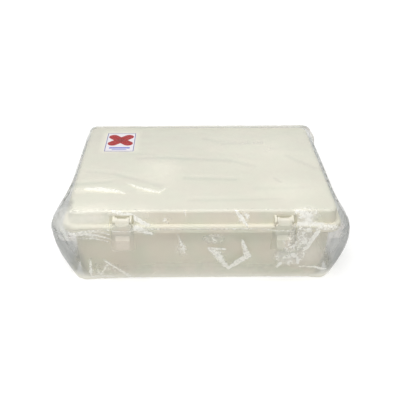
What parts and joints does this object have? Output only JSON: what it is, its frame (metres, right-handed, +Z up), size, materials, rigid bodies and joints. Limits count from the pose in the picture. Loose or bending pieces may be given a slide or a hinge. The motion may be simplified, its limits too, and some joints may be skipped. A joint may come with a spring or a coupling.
{
  "type": "first aid box",
  "caption": "Shallow ivory plastic case with a wide joint rim, two snap latches, pinned rear hinges, inner dividers and a lid label, in a clear bag slit along its joint.",
  "frame": {"origin": "on the floor, under the centre of the closed case's outer box", "axes": "+X along the front from left to right, +Y towards the hinges, +Z up; the latches face -Y"},
  "size_m": [0.3264, 0.2404, 0.0912],
  "materials": {
    "case_plastic": "satin",
    "latch_plastic": "satin",
    "divider_plastic": "satin",
    "seal_rubber": "matte",
    "pin_steel": "brushed",
    "label_vinyl": "gloss",
    "bag_film": "gloss"
  },
  "bodies": {
    "base": {"base_shell": "case_plastic", "long_divider": "divider_plastic", "left_cross_divider": "divider_plastic", "right_cross_divider": "divider_plastic", "left_hinge_pin": "pin_steel", "right_hinge_pin": "pin_steel", "base_bag_film": "bag_film"},
    "lid": {"lid_shell": "case_plastic", "seal_gasket": "seal_rubber", "label": "label_vinyl", "lid_bag_film": "bag_film", "left_latch_pin": "pin_steel", "right_latch_pin": "pin_steel"},
    "left_latch": {"left_latch": "latch_plastic"},
    "right_latch": {"right_latch": "latch_plastic"}
  },
  "joints": [
    {"name": "lid_hinge", "type": "hinge", "parent": "base", "child": "lid", "pos_m": [0, 0.1169, 0.0712], "axis": [-1, 0, 0], "range_deg": [0, 105]},
    {"name": "left_latch_hinge", "type": "hinge", "parent": "lid", "child": "left_latch", "pos_m": [-0.0855, -0.11192, 0.081], "axis": [-1, 0, 0], "range_deg": [0, 110]},
    {"name": "right_latch_hinge", "type": "hinge", "parent": "lid", "child": "right_latch", "pos_m": [0.0855, -0.11192, 0.081], "axis": [-1, 0, 0], "range_deg": [0, 110]}
  ]
}
